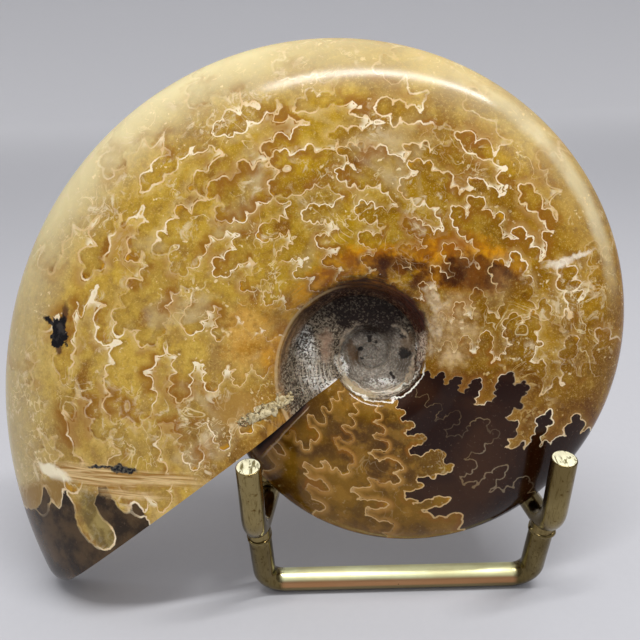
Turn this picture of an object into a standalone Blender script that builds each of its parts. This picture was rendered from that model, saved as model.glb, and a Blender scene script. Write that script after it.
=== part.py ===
"""Half of a polished ammonite resting on a bent brass rod stand. Metres, +Z up.

The fossil is one natural piece: a flank profile lofted round a logarithmic spiral, cut flat behind
and cut straight across at the aperture. The stand is round rod: a rail that makes both prongs, both
arms and the rear foot, a front foot, and a backrest brazed on the arms.
"""

import math

import bmesh
import bpy
from mathutils import Matrix, Vector

# Stand, in its own frame: X = 0 is its plane of symmetry, Y = 0 its prongs, Z = 0 the ground.
ROD_DIAMETER = 0.0032
ROD_RADIUS = ROD_DIAMETER / 2
GAP = 0.0003
ARM_HALF_SPACING = 0.0191
ARM_HEIGHT = 0.0128
ARM_TOE_IN = math.radians(6.4)
PRONG_LENGTH = 0.0118
PRONG_LEAN = math.radians(8.7)
ELBOW_RADIUS = 0.0043
FOOT_BEND_RADIUS = 0.0027
FRONT_UPRIGHT_Y = 0.0021
FRONT_FOOT_Y = 0.0049
FRONT_FOOT_HALF_WIDTH = 0.0187
REAR_FOOT_Y = 0.0400
BACKREST_Y = 0.01035
BACKREST_HEIGHT = 0.0460
BACKREST_BEND_RADIUS = 0.0048

# Fossil, in its own frame: the cut back lies in XY and the flank rises along +Z.
LEAN = math.radians(15.0)
YAW = math.radians(-6.4)
CENTRE_RIGHT = -0.0039
CENTRE_UP = 0.01947
BACK_Y = 0.00675
SPIRAL_RADIUS = 0.0324
WHORL_EXPANSION = 2.535
SPIRAL_GROWTH = math.log(WHORL_EXPANSION) / math.tau
CUT_ANGLE = math.radians(217.8)
TIP_ROUNDING = 0.0030
TIP_ROUNDED_FROM = 0.80
FLANK_HEIGHT = 0.200
CREST = 0.38
SEAM = 0.19
VENTER_POWER = 2.6
WALL_POWER = 3.2
WALL_SOFTNESS = 0.77
PIT_FLOOR = 0.0012
PIT_FLOOR_REACH = 0.012
INNER_WHORLS = 2
COLUMN_STEP = math.radians(5.0)

# Faces round a rod and along a bend, and the turns that lay one facet of each foot on the ground.
ROD_SIDES = 16
BEND_STEPS = 6
RAIL_FACET_TURN = math.radians(10.23)
FRONT_FOOT_FACET_TURN = math.radians(16.42)


def clear_scene():
    for obj in list(bpy.data.objects):
        bpy.data.objects.remove(obj, do_unlink=True)


def new_collection(name):
    collection = bpy.data.collections.new(name)
    bpy.context.scene.collection.children.link(collection)
    return collection


def new_material(name, colour, roughness, metallic):
    material = bpy.data.materials.new(name)
    material.use_nodes = True
    shader = material.node_tree.nodes["Principled BSDF"]
    shader.inputs["Base Color"].default_value = (*colour, 1.0)
    shader.inputs["Roughness"].default_value = roughness
    shader.inputs["Metallic"].default_value = metallic
    return material


# ---------------------------------------------------------------- fossil


def whorl_radius(angle):
    """Outer radius of the spiral at an angle, counted on through its whole turns."""
    return SPIRAL_RADIUS * math.exp(SPIRAL_GROWTH * angle)


def flank_height(x):
    """Height of the flank over the whorl's outer radius, at x of that radius.

    It falls from the crest to nothing at the venter, and down the umbilical wall to the seam, where
    it meets the flank of the whorl before, which is WHORL_EXPANSION times smaller.
    """
    if x >= CREST:
        outward = (x - CREST) / (1 - CREST)
        return FLANK_HEIGHT * math.sqrt(max(0.0, 1 - outward**VENTER_POWER))
    floor = flank_height(SEAM * WHORL_EXPANSION) / WHORL_EXPANSION
    inward = min(1.0, (CREST - x) / (CREST - SEAM))
    return floor + (FLANK_HEIGHT - floor) * max(0.0, 1 - inward**WALL_POWER) ** WALL_SOFTNESS


def outer_rows():
    """Rows from the venter to where the next whorl inwards would be covered, evenly round the curve."""
    rows = []
    for degrees in range(90, 10, -10):
        outward = math.sin(math.radians(degrees)) ** (2 / VENTER_POWER)
        rows.append(CREST + (1 - CREST) * outward)
    return rows + [SEAM * WHORL_EXPANSION]


def inner_rows():
    """Rows from the crest down the umbilical wall to the seam."""
    rows = [CREST]
    for degrees in (20, 35, 50, 65, 80, 90):
        inward = math.sin(math.radians(degrees)) ** (2 / WALL_POWER)
        rows.append(CREST - (CREST - SEAM) * inward)
    return rows


def column_angles():
    """Angles once round the last whorl, with extra columns where the tip's corner is rounded."""
    count = round(math.tau / COLUMN_STEP)
    start = CUT_ANGLE - math.tau
    angles = [start + math.tau * step / count for step in range(count)]
    corner = TIP_ROUNDING / whorl_radius(CUT_ANGLE)
    angles += [CUT_ANGLE - corner * (1 - math.sin(math.radians(turn))) for turn in (0, 25, 50, 70, 90)]
    return angles


def tip_trim(angle):
    """How far the venter is drawn in near the cut, so that its corner is a quarter circle."""
    left = whorl_radius(angle) * (CUT_ANGLE - angle)
    if left >= TIP_ROUNDING:
        return 0.0
    return TIP_ROUNDING - math.sqrt(max(0.0, TIP_ROUNDING**2 - (TIP_ROUNDING - left) ** 2))


def flank_point(angle, x, whorls_in):
    """A point of the flank, on the whorl that many turns further in."""
    outer = whorl_radius(angle) / WHORL_EXPANSION**whorls_in
    radius = outer * x
    if whorls_in == 0 and x > TIP_ROUNDED_FROM:
        share = (x - TIP_ROUNDED_FROM) / (1 - TIP_ROUNDED_FROM)
        radius -= tip_trim(angle) * share**2
    height = outer * flank_height(x)
    height += PIT_FLOOR * max(0.0, 1 - radius / PIT_FLOOR_REACH)
    return Vector((radius * math.cos(angle), radius * math.sin(angle), height))


def ammonite_mesh():
    mesh = bpy.data.meshes.new("ammonite")
    shell = bmesh.new()
    rows = [(x, 0) for x in outer_rows() + inner_rows()]
    for whorls_in in range(1, INNER_WHORLS + 1):
        rows += [(x, whorls_in) for x in inner_rows()]
    columns = []
    for angle in column_angles():
        columns.append([shell.verts.new(flank_point(angle, x, whorl)) for x, whorl in rows])
    for left, right in zip(columns, columns[1:]):
        for row in range(len(rows) - 1):
            shell.faces.new((left[row], left[row + 1], right[row + 1], right[row]))

    # A fan closes the pit, down the first column's innermost whorl and round the innermost row.
    first, last = columns[0], columns[-1]
    centre = shell.verts.new((0, 0, PIT_FLOOR))
    seam_row = len(rows) - 1
    pit_ring = first[seam_row - len(inner_rows()) : seam_row] + [column[seam_row] for column in columns]
    for one, other in zip(pit_ring, pit_ring[1:]):
        shell.faces.new((centre, one, other))

    # The straight cut across the aperture stands on the flank of the whorl before.
    seam = len(outer_rows()) + len(inner_rows()) - 1
    covered = len(outer_rows()) - 1
    shell.faces.new(last[: seam + 1] + first[covered - 1 :: -1])
    shell.faces.new([column[0] for column in reversed(columns)])

    bmesh.ops.remove_doubles(shell, verts=shell.verts, dist=1e-6)
    bmesh.ops.recalc_face_normals(shell, faces=shell.faces)
    shell.to_mesh(mesh)
    shell.free()
    mesh.shade_smooth()
    mesh.set_sharp_from_angle(angle=math.radians(40))
    return mesh


def add_ammonite(collection, root, material):
    fossil = bpy.data.objects.new("ammonite", ammonite_mesh())
    fossil.data.materials.append(material)
    collection.objects.link(fossil)
    fossil.parent = root
    fossil.rotation_euler = (math.pi / 2 - LEAN, 0, YAW)
    turned = fossil.rotation_euler.to_matrix()
    foot_of_back = Vector((0, BACK_Y, ARM_HEIGHT + ROD_RADIUS))
    fossil.location = foot_of_back + turned @ Vector((CENTRE_RIGHT, CENTRE_UP, 0))
    return fossil


# ---------------------------------------------------------------- stand


def rounded_route(corners, radii):
    """The corner points joined by straight runs, each inner corner rounded by an arc."""
    route = [Vector(corners[0])]
    for before, corner, after, radius in zip(corners, corners[1:], corners[2:], radii):
        corner = Vector(corner)
        back = (Vector(before) - corner).normalized()
        ahead = (Vector(after) - corner).normalized()
        half = back.angle(ahead) / 2
        middle = corner + (back + ahead).normalized() * radius / math.sin(half)
        first = corner + back * radius / math.tan(half) - middle
        axis = back.cross(ahead).normalized()
        turn = math.pi - 2 * half
        for step in range(BEND_STEPS + 1):
            spin = Matrix.Rotation(-turn * step / BEND_STEPS, 3, axis)
            route.append(middle + spin @ first)
    return route + [Vector(corners[-1])]


def add_rod(name, route, facet_turn, collection, root, material):
    """A round rod along the route, as a closed mesh. The turn sets which way its facets face."""
    curve = bpy.data.curves.new(name, "CURVE")
    curve.dimensions = "3D"
    curve.bevel_depth = ROD_RADIUS
    curve.bevel_resolution = (ROD_SIDES - 4) // 2
    curve.use_fill_caps = True
    spline = curve.splines.new("POLY")
    spline.points.add(len(route) - 1)
    for point, place in zip(spline.points, route):
        point.co = (*place, 1)
        point.tilt = facet_turn
    guide = bpy.data.objects.new(name + "_route", curve)
    collection.objects.link(guide)
    bpy.context.view_layer.update()
    graph = bpy.context.evaluated_depsgraph_get()
    mesh = bpy.data.meshes.new_from_object(guide.evaluated_get(graph))
    mesh.name = name
    rod = bpy.data.objects.new(name, mesh)
    rod.matrix_world = guide.matrix_world
    bpy.data.objects.remove(guide)
    welded = bmesh.new()
    welded.from_mesh(mesh)
    bmesh.ops.remove_doubles(welded, verts=welded.verts, dist=1e-6)
    bmesh.ops.recalc_face_normals(welded, faces=welded.faces)
    welded.to_mesh(mesh)
    welded.free()
    mesh.shade_smooth()
    mesh.set_sharp_from_angle(angle=math.radians(40))
    mesh.materials.clear()
    mesh.materials.append(material)
    collection.objects.link(rod)
    rod.parent = root
    return rod


def arm_x(side, y):
    """X of an arm's axis at a depth: the arms come together towards the back."""
    return side * (ARM_HALF_SPACING - math.tan(ARM_TOE_IN) * y)


def rail_half(side):
    """Corners of one half of the rail: cut end, elbow, rear bend and foot."""
    top = (
        side * ARM_HALF_SPACING,
        -PRONG_LENGTH * math.sin(PRONG_LEAN),
        ARM_HEIGHT + PRONG_LENGTH * math.cos(PRONG_LEAN),
    )
    elbow = (side * ARM_HALF_SPACING, 0, ARM_HEIGHT)
    rear = (arm_x(side, REAR_FOOT_Y), REAR_FOOT_Y, ARM_HEIGHT)
    foot = (arm_x(side, REAR_FOOT_Y), REAR_FOOT_Y, ROD_RADIUS)
    return [top, elbow, rear, foot]


def add_stand(collection, cutters, root, material):
    rail = rail_half(-1) + rail_half(1)[::-1]
    half_radii = [ELBOW_RADIUS, ELBOW_RADIUS, FOOT_BEND_RADIUS]
    route = rounded_route(rail, half_radii + half_radii[::-1])
    add_rod("cradle_rail", route, RAIL_FACET_TURN, collection, root, material)

    front = [
        (arm_x(-1, FRONT_UPRIGHT_Y), FRONT_UPRIGHT_Y, ARM_HEIGHT),
        (-FRONT_FOOT_HALF_WIDTH, FRONT_FOOT_Y, ROD_RADIUS),
        (FRONT_FOOT_HALF_WIDTH, FRONT_FOOT_Y, ROD_RADIUS),
        (arm_x(1, FRONT_UPRIGHT_Y), FRONT_UPRIGHT_Y, ARM_HEIGHT),
    ]
    route = rounded_route(front, [FOOT_BEND_RADIUS] * 2)
    front_foot = add_rod("front_foot", route, FRONT_FOOT_FACET_TURN, collection, root, material)

    top_y = BACKREST_Y + (BACKREST_HEIGHT - ARM_HEIGHT) * math.tan(LEAN)
    hoop = [
        (arm_x(-1, BACKREST_Y), BACKREST_Y, ARM_HEIGHT),
        (arm_x(-1, BACKREST_Y), top_y, BACKREST_HEIGHT),
        (arm_x(1, BACKREST_Y), top_y, BACKREST_HEIGHT),
        (arm_x(1, BACKREST_Y), BACKREST_Y, ARM_HEIGHT),
    ]
    route = rounded_route(hoop, [BACKREST_BEND_RADIUS] * 2)
    backrest = add_rod("backrest", route, 0, collection, root, material)

    # Both ends of each hoop are coped to saddle an arm, a braze gap clear of it.
    for side, word in ((-1, "left"), (1, "right")):
        middle_y = REAR_FOOT_Y / 2
        bpy.ops.mesh.primitive_cylinder_add(
            vertices=48,
            radius=ROD_RADIUS + GAP,
            depth=REAR_FOOT_Y,
            location=(arm_x(side, middle_y), middle_y, ARM_HEIGHT),
            rotation=(math.pi / 2, 0, side * ARM_TOE_IN),
        )
        cutter = bpy.context.object
        cutter.name = "coping_" + word
        for other in list(cutter.users_collection):
            other.objects.unlink(cutter)
        cutters.objects.link(cutter)
        cutter.parent = root
        cutter.hide_render = True
        cutter.display_type = "WIRE"
        for rod in (front_foot, backrest):
            cope = rod.modifiers.new("cope_" + word, "BOOLEAN")
            cope.operation = "DIFFERENCE"
            cope.object = cutter


def centre_on_base(root, objects):
    """Moves everything so that the middle of the base of the bounding box is the origin."""
    bpy.context.view_layer.update()
    corners = [obj.matrix_world @ vertex.co for obj in objects for vertex in obj.data.vertices]
    low = [min(corner[axis] for corner in corners) for axis in range(3)]
    high = [max(corner[axis] for corner in corners) for axis in range(3)]
    root.location = (-(low[0] + high[0]) / 2, -(low[1] + high[1]) / 2, -low[2])
    bpy.context.view_layer.update()


def main():
    clear_scene()
    bpy.context.scene.unit_settings.scale_length = 1.0
    collection = new_collection("ammonite_on_stand")
    cutters = new_collection("cutters")
    root = bpy.data.objects.new("base_centre", None)
    collection.objects.link(root)
    calcite = new_material("polished_calcite", (0.42, 0.27, 0.08), 0.12, 0.0)
    brass = new_material("polished_brass", (0.62, 0.52, 0.27), 0.18, 1.0)
    add_ammonite(collection, root, calcite)
    add_stand(collection, cutters, root, brass)
    centre_on_base(root, [obj for obj in collection.objects if obj.type == "MESH"])
    for obj in collection.objects:
        print(obj.name, [round(1000 * size, 2) for size in obj.dimensions])


main()
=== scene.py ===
# %% [markdown]
# # Half an ammonite on a bent brass stand
#
# The object is one half of a sawn and polished ammonite, leaning on a small stand of round brass
# rod. This lesson builds what the eye sees on top of the solid parts: the polished shell with its
# leaf-shaped suture lines, the crystals in its navel, and the brazed, slightly worn rod.
#
# Every piece is first made at its real size in metres, in the same frame as the solid parts.

import math
import random

import bpy
import mathutils
import numpy as np
from mathutils import Matrix, Vector
from mathutils.kdtree import KDTree


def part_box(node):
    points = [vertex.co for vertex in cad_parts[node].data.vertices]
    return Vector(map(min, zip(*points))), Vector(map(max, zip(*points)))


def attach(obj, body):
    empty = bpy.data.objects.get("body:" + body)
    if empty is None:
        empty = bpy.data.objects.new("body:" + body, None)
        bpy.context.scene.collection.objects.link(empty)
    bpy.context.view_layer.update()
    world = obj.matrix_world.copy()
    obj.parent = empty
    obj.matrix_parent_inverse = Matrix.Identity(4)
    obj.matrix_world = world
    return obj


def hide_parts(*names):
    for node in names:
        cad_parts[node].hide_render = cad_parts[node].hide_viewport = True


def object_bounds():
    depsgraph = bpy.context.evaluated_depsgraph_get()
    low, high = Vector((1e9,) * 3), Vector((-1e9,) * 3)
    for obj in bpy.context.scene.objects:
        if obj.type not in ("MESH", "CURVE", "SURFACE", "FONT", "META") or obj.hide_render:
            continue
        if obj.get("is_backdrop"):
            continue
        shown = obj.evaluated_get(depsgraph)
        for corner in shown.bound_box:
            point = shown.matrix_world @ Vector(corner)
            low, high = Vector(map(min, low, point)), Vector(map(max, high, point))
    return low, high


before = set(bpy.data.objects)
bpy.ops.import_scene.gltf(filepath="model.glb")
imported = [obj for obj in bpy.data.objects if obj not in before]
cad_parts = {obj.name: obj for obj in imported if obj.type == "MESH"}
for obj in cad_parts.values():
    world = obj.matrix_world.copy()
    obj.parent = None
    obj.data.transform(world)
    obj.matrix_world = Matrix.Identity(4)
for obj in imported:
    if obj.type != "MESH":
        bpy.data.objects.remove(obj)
cad_low, cad_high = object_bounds()
print("solid parts:", sorted(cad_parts))
print("size in mm:", [round(1000 * side, 1) for side in cad_high - cad_low])

# %% [markdown]
# ## Working habits
#
# A few short helpers keep the later cells readable. One empties the selection before each
# operator, one gives a mesh's points as an array, and the others lay out shader nodes, so that a
# material reads like a recipe: a factor, two colours, and how they are mixed. They all add their
# nodes to the tree that was started last.

# %% Helpers
MM = 0.001


def deselect():
    if bpy.context.mode != "OBJECT":
        bpy.ops.object.mode_set(mode="OBJECT")
    bpy.ops.object.select_all(action="DESELECT")


def made(name):
    piece = bpy.context.object
    piece.name = piece.data.name = name
    return piece


def edit(piece, kind="VERT", select="DESELECT"):
    deselect()
    bpy.context.view_layer.objects.active = piece
    piece.select_set(True)
    bpy.ops.object.mode_set(mode="EDIT")
    bpy.ops.mesh.select_mode(type=kind)
    bpy.ops.mesh.select_all(action=select)


def pick(piece, mask, kind):
    """Selects the edges or faces in the mask, and stays in edit mode."""
    edit(piece, kind)
    bpy.ops.object.mode_set(mode="OBJECT")
    items = piece.data.edges if kind == "EDGE" else piece.data.polygons
    items.foreach_set("select", mask)
    bpy.ops.object.mode_set(mode="EDIT")


def outside(piece):
    """Turns the faces outwards and puts the object's own origin at the frame's."""
    edit(piece, select="SELECT")
    bpy.ops.mesh.normals_make_consistent(inside=False)
    bpy.ops.object.mode_set(mode="OBJECT")
    bpy.ops.object.transform_apply(location=True, rotation=True, scale=True)


def points(mesh):
    flat = np.empty(len(mesh.vertices) * 3)
    mesh.vertices.foreach_get("co", flat)
    return flat.reshape(-1, 3)


def node(kind, inputs=(), **settings):
    """Adds a node to tree, which is always the material or group that is being laid out."""
    made_node = tree.nodes.new(kind)
    for key, value in settings.items():
        setattr(made_node, key, value)
    for key, value in dict(inputs).items():
        socket = made_node.inputs[key]
        if isinstance(value, bpy.types.NodeSocket):
            tree.links.new(value, socket)
        else:
            socket.default_value = value
    return made_node


def calc(operation, one, other=0.0, third=0.0, clamp=False):
    sums = node("ShaderNodeMath", {0: one, 1: other, 2: third}, operation=operation)
    sums.use_clamp = clamp
    return sums.outputs[0]


def scaled(value, by, plus=0.0, clamp=False):
    return calc("MULTIPLY_ADD", value, by, plus, clamp)


def clipped(value, by, plus=0.0):
    """Scaled, and kept between 0 and 1."""
    return scaled(value, by, plus, clamp=True)


def rest(mask):
    return calc("SUBTRACT", 1.0, mask)


def times(*factors):
    product = factors[0]
    for factor in factors[1:]:
        product = calc("MULTIPLY", product, factor)
    return product


def most(*factors):
    largest = factors[0]
    for factor in factors[1:]:
        largest = calc("MAXIMUM", largest, factor)
    return largest


def spread(value, low, high, top=1.0):
    """0 below low and top above high, smooth between; low may be the larger."""
    ends = {"Value": value, "From Min": low, "From Max": high}
    ramp = node("ShaderNodeMapRange", ends, interpolation_type="SMOOTHSTEP").outputs[0]
    return ramp if top == 1 else times(ramp, top)


def centred(value, size):
    return times(calc("SUBTRACT", value, 0.5), size)


def vectors(operation, *values, out=0):
    return node("ShaderNodeVectorMath", dict(enumerate(values)), operation=operation).outputs[out]


def parts(vector):
    return node("ShaderNodeSeparateXYZ", {0: vector}).outputs


def blend(factor, one, other, how="MIX"):
    mixer = node("ShaderNodeMix", data_type="RGBA", blend_type=how)
    for socket, value in zip((mixer.inputs[i] for i in (0, 6, 7)), (factor, one, other)):
        if isinstance(value, bpy.types.NodeSocket):
            tree.links.new(value, socket)
        else:
            socket.default_value = (*value, 1.0) if isinstance(value, tuple) else value
    return mixer.outputs[2]


def coats(colour, *layers):
    """Lays coats over a colour in turn. Each is a factor, a colour and, if not plain, a way to mix."""
    for factor, coat, *how in layers:
        colour = blend(factor, colour, coat, *how)
    return colour


def noise(where, scale, detail=3.0, rough=0.5, warp=0.0, out="Fac"):
    inputs = {"Vector": where, "Scale": scale, "Detail": detail, "Roughness": rough, "Distortion": warp}
    return node("ShaderNodeTexNoise", inputs).outputs[out]


def stretched(where, scale, turn=(0, 0, 0)):
    return node("ShaderNodeMapping", {"Vector": where, "Scale": scale, "Rotation": turn}).outputs[0]


def bump(height, strength, distance=0.3 * MM, under=()):
    inputs = {"Height": height, "Strength": strength, "Distance": distance}
    return node("ShaderNodeBump", {**inputs, **dict(under)}).outputs[0]


def object_place():
    return node("ShaderNodeTexCoord").outputs["Object"]


def new_group(name, inputs, outputs):
    """An effect used more than once: a node group with its own sockets."""
    tree = bpy.data.node_groups.new(name, "ShaderNodeTree")
    for label, value in inputs.items():
        kind = "NodeSocketVector" if np.size(value) == 3 else "NodeSocketFloat"
        tree.interface.new_socket(label, in_out="INPUT", socket_type=kind).default_value = value
    for label in outputs:
        tree.interface.new_socket(label, in_out="OUTPUT", socket_type="NodeSocketFloat")
    return tree, tree.nodes.new("NodeGroupInput").outputs, tree.nodes.new("NodeGroupOutput").inputs


def use(group, inputs):
    return node("ShaderNodeGroup", inputs, node_tree=group).outputs


def new_material(name, **settings):
    material = bpy.data.materials.new(name)
    material.use_nodes = True
    shader = material.node_tree.nodes["Principled BSDF"]
    for label, value in settings.items():
        shader.inputs[label.replace("_", " ")].default_value = value
    return material, material.node_tree, shader


def surface(**outputs):
    """Links outputs to the inputs of shader that have the same names."""
    for label, output in outputs.items():
        tree.links.new(output, shader.inputs[label.replace("_", " ")])


def joined(pieces, name):
    deselect()
    for piece in pieces:
        piece.select_set(True)
    bpy.context.view_layer.objects.active = pieces[0]
    bpy.ops.object.join()
    return made(name)


print("helpers ready")

# %% [markdown]
# ## The table, the light and the view
#
# A small collectable is shown on a plain pale sheet that sweeps up behind it, under one wide soft
# lamp. The wide lamp draws the long milky highlight along the shell's upper rim, and the pale room
# gives the brass something to reflect. The camera stands a hand's width in front and looks down
# about 20 degrees.

# %% Floor
deselect()
bpy.ops.mesh.primitive_plane_add(size=2.4)
floor = made("paper_sweep")
far = points(floor.data)[:, 1] > 1.1
pick(floor, [bool(far[list(edge.vertices)].all()) for edge in floor.data.edges], "EDGE")
bpy.ops.mesh.spin(steps=16, angle=math.pi / 2, center=(0, 1.2, 0.6), axis=(-1, 0, 0))
bpy.ops.mesh.extrude_region_move(TRANSFORM_OT_translate={"value": (0, 0, 1.2)})
outside(floor)
floor.data.shade_smooth()

paper, tree, shader = new_material("pale_paper", Roughness=0.75, Specular_IOR_Level=0.25)
place = object_place()
fibre = noise(place, 900, 4)
tint = blend(spread(parts(place)[1], 0.1, 1.2), (0.50, 0.50, 0.525), (0.86, 0.86, 0.88))
tint = blend(times(fibre, 0.2), tint, (0.62, 0.62, 0.64))
surface(Base_Color=tint, Normal=bump(fibre, 0.06, 0.2 * MM))
floor.data.materials.append(paper)
floor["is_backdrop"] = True
print("floor:", len(floor.data.polygons), "faces")

# %% Light and camera
lamp = bpy.data.lights.new("overhead_softbox", "AREA")
lamp.shape, lamp.size, lamp.size_y, lamp.energy = "RECTANGLE", 0.36, 0.024, 1.2
softbox = bpy.data.objects.new("overhead_softbox", lamp)
bpy.context.scene.collection.objects.link(softbox)
softbox.location = (0.05, -0.085, 0.40)
aim = Vector((0, 0, 0.04)) - Vector((0.05, -0.085, 0.40))
softbox.rotation_euler = aim.to_track_quat("-Z", "Y").to_euler()
softbox.rotation_euler.rotate_axis("Z", math.radians(-16))

world = bpy.data.worlds.new("pale_room")
bpy.context.scene.world = world
world.use_nodes = True
tree = world.node_tree
height = parts(node("ShaderNodeTexCoord").outputs["Generated"])[2]
room = blend(spread(height, 0.30, 0.90), (0.30, 0.30, 0.32), (0.98, 0.98, 1.0))
background = tree.nodes["Background"]
tree.links.new(room, background.inputs["Color"])
background.inputs["Strength"].default_value = 0.9

camera = bpy.data.objects.new("camera", bpy.data.cameras.new("camera"))
bpy.context.scene.collection.objects.link(camera)
camera.data.lens, camera.data.sensor_width = 37.35, 36.0
camera.data.clip_start = 0.01
camera.location = (0.00349, -0.09033, 0.0683)
turn = Matrix.Rotation(math.radians(0.34), 3, "Z") @ Matrix.Rotation(math.radians(70.0), 3, "X")
camera.rotation_euler = (turn @ Matrix.Rotation(math.radians(-1.63), 3, "Z")).to_euler()
bpy.context.scene.camera = camera
bpy.context.scene.view_settings.view_transform = "Standard"
print("lamp, room light and camera placed")

# %% [markdown]
# ## The shape of the shell
#
# An ammonite grows as a logarithmic spiral: each turn is the last one enlarged by the same factor.
# So one cross-section is enough. It rises steeply from the outer edge, the venter, to the flat
# flank, and falls down the wall of the navel to the seam, where the turn before it begins.
#
# Each turn is a flat grid whose columns go round the spiral and whose rows go from the venter to
# the seam. Working in the grid's own coordinates, the angle round the spiral and the depth from
# the venter, makes every later marking easy to place. The turns are then welded and the saw cuts
# closed with flat faces.

# %% Spiral and cross-section
SPIRAL_RADIUS, EXPANSION = 32.385 * MM, 2.535
GROWTH = math.log(EXPANSION) / math.tau
CUT = math.radians(217.8)
CREST, SEAM, FLANK = 0.38, 0.19, 0.1996
VENTER_POWER, WALL_POWER, WALL_SOFTNESS = 2.6, 3.2, 0.77
TIP_ROUNDING, PIT_FLOOR, PIT_REACH = 3.0 * MM, 1.2 * MM, 12 * MM
JOIN = SEAM * EXPANSION
SEAM_DOWN = 94

STAND_AT = Vector((12.99, -19.13, -0.03)) * MM
LEAN, YAW = math.radians(15), math.radians(-6.4)
fossil_turn = Matrix.Rotation(YAW, 4, "Z") @ Matrix.Rotation(math.pi / 2 - LEAN, 4, "X")
fossil_frame = Matrix.Translation(STAND_AT + Vector((0, 6.75, 14.4)) * MM) @ fossil_turn
fossil_frame = fossil_frame @ Matrix.Translation(Vector((-3.9, 19.47, 0)) * MM)


def section():
    """x of the outer radius, height over it, and the depth measured along the surface."""
    sweep = np.radians(np.linspace(90, 0, 1500))
    x = CREST + (1 - CREST) * np.sin(sweep) ** (2 / VENTER_POWER)
    height = FLANK * np.cos(sweep)
    floor_height = FLANK * math.sqrt(1 - ((JOIN - CREST) / (1 - CREST)) ** VENTER_POWER) / EXPANSION
    sweep = sweep[::-1][1:]
    x = np.append(x, CREST - (CREST - SEAM) * np.sin(sweep) ** (2 / WALL_POWER))
    wall = np.cos(sweep).clip(0) ** (2 * WALL_SOFTNESS)
    height = np.append(height, floor_height + (FLANK - floor_height) * wall)
    run = np.hypot(np.diff(x), np.diff(height)) / (x[1:] + x[:-1]) * 2
    return x, height, np.degrees(np.append(0, np.cumsum(run)))


SECTION_X, SECTION_HEIGHT, SECTION_DEPTH = section()


def depth_of(x):
    return np.interp(-np.asarray(x, float), -SECTION_X, SECTION_DEPTH)


def flank_point(angle, x, turns_in):
    outer = SPIRAL_RADIUS * np.exp(GROWTH * angle) / EXPANSION**turns_in
    radius = outer * x
    if turns_in == 0:
        left = (outer * (CUT - angle)).clip(0, TIP_ROUNDING)
        trim = TIP_ROUNDING - np.sqrt(TIP_ROUNDING**2 - (TIP_ROUNDING - left) ** 2)
        radius = radius - trim * ((x - 0.8) / 0.2).clip(0) ** 2
    height = outer * np.interp(-x, -SECTION_X, SECTION_HEIGHT)
    height = height + PIT_FLOOR * (1 - radius / PIT_REACH).clip(0)
    return np.stack([radius * np.cos(angle), radius * np.sin(angle), height], -1)


total_depth = SECTION_DEPTH[-1]
print("depth from venter to seam, in degrees of arc:", round(float(total_depth), 1))
print("depth of the join with the next turn:", round(float(depth_of(JOIN)), 1))

# %% [markdown]
# ## The suture lines
#
# Where each chamber wall met the shell it left a suture: a line folded like an oak leaf. Polishing
# exposes them all. Every suture repeats one pattern, a little larger and more frilled than the one
# before, so a single list of folds is enough. Each entry says how far down from the venter a fold
# lies and how far along the spiral it reaches. Lobes point back to the centre, saddles forwards.
#
# The frills are a second wave along that line, made of round arcs that meet in points, with the
# points towards the lobes. They grow from almost nothing in the early turns to deep scallops, and
# they stay small where two parts of a suture run close together. The last suture is drawn by
# itself: it bounds the dark corner by the tip, with three teeth, a broad saddle and two lobes.

# %% Suture routes
ROUTE_GAP = 0.08
FOLDS = [
    (7, 0), (5, 3), (8.5, 6), (8, 9), (2, 8.6), (-3, 11.5), (-1, 13.6), (4.5, 13.6), (8, 15.8),
    (4, 17.6), (-1, 16.6), (-7.5, 15.6), (-5, 17.8), (-10.5, 18.8), (-9, 21.2), (-3, 21.8),
    (0.8, 23.6), (-1.6, 26.4), (3, 27.4), (6.5, 25.2), (9.5, 27), (13.5, 25.4), (18, 27.6),
    (14.5, 30.8), (19.5, 33), (18, 37.2), (12, 38.4), (7, 36.6), (3.8, 38.2), (0, 41), (4, 44),
    (11, 43.2), (15.5, 46), (13, 49.4), (7, 50), (3, 52.4), (7, 55), (12.5, 54.6), (15, 58),
    (11, 61), (5, 62.6), (7.5, 65.6), (13, 66), (14.5, 69.6), (9.5, 72), (6, 74), (10.5, 77),
    (13, 80), (8.5, 82.6), (6.5, 85), (10, 88), (8, 92), (8, 97),
]
SUTURES = [
    -135, -112.6, -88.9, -67, -44.5, -23, 0, 19.5, 42, 61, 80.5, 99.5, 117, 136, 157, 177, 197,
]
LAST_SUTURE = [
    (204, 0), (205, 3), (205.4, 5.5), (204.4, 7.4), (202, 9), (204.5, 9.8), (206.7, 10.8),
    (205.4, 12.2), (203.6, 13.1), (205.6, 13.8), (207.5, 14.4), (210, 13.6), (213, 14),
    (215.6, 15.4), (217, 17.6), (216.2, 19.8), (214, 20.2), (211, 18.9), (208, 18.9), (207.4, 20),
    (205.4, 21), (206, 22.4), (209, 23), (212, 23.8), (213.2, 25.4), (211.8, 27.2), (213.6, 28.4),
    (217, 28.6), (222, 30), (227, 44), (227, 70), (227, 97),
]


def smooth_route(knots):
    """A Catmull-Rom curve through the knots, with points ROUTE_GAP degrees apart."""
    knots = np.array([2 * knots[0] - knots[1], *knots, 2 * knots[-1] - knots[-2]])
    t = np.linspace(0, 1, 60, endpoint=False)[:, None]
    pieces = []
    for a, b, c, d in zip(knots, knots[1:], knots[2:], knots[3:]):
        square, cube = 2 * a - 5 * b + 4 * c - d, 3 * b - a - 3 * c + d
        pieces.append(0.5 * (2 * b + (c - a) * t + square * t**2 + cube * t**3))
    route = np.concatenate(pieces)
    along = np.append(0, np.cumsum(np.hypot(*np.diff(route, axis=0).T)))
    even = np.arange(0, along[-1], ROUTE_GAP)
    return np.stack([np.interp(even, along, route[:, i]) for i in (0, 1)], 1)


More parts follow.
